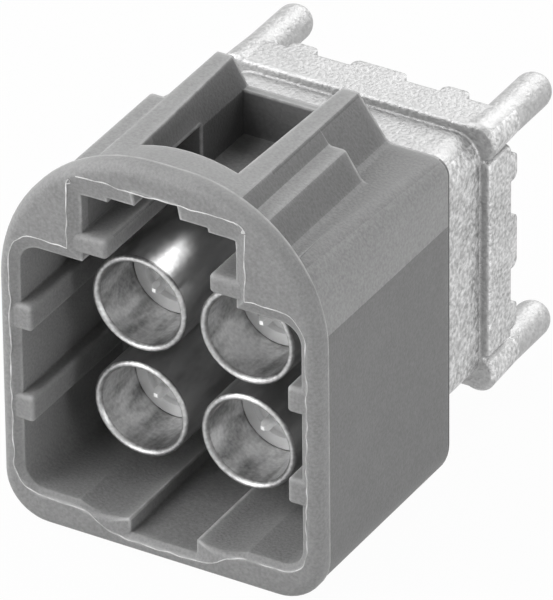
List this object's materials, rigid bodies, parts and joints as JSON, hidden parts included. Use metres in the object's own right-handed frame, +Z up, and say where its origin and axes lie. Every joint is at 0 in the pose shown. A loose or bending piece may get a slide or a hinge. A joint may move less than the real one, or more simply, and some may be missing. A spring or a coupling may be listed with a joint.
{
  "type": "pcb plug connector",
  "caption": "Board-mounted coaxial plug: a plastic housing with an arched latch side on a metal casting with round outer contacts, signal pins and corner solder posts.",
  "frame": {"origin": "centre of the square of ports and of the four solder posts, on the board's surface, where the standoff pads rest", "axes": "-Y is the mating direction and the face with the port openings looks along it, +Y goes into the board along the posts, +Z is up to the latch side, +X is to the right seen from the front"},
  "size_m": [0.012, 0.0172, 0.0147],
  "materials": {
    "housing_plastic": "moulded glass-filled plastic, mid-grey, finely spark-eroded matte surface",
    "tinned_zinc": "tin-plated zinc die casting, light grey and finely pitted, smoother on the contacts",
    "insulator_plastic": "natural light grey insulator, smooth",
    "contact_plating": "silver-coloured bright plating on a brass wire"
  },
  "bodies": {
    "root": {"housing": "housing_plastic", "shield_casting": "tinned_zinc", "insulator_top_left": "insulator_plastic", "insulator_top_right": "insulator_plastic", "insulator_bottom_left": "insulator_plastic", "insulator_bottom_right": "insulator_plastic", "signal_pin_top_left": "contact_plating", "signal_pin_top_right": "contact_plating", "signal_pin_bottom_left": "contact_plating", "signal_pin_bottom_right": "contact_plating"}
  },
  "joints": []
}
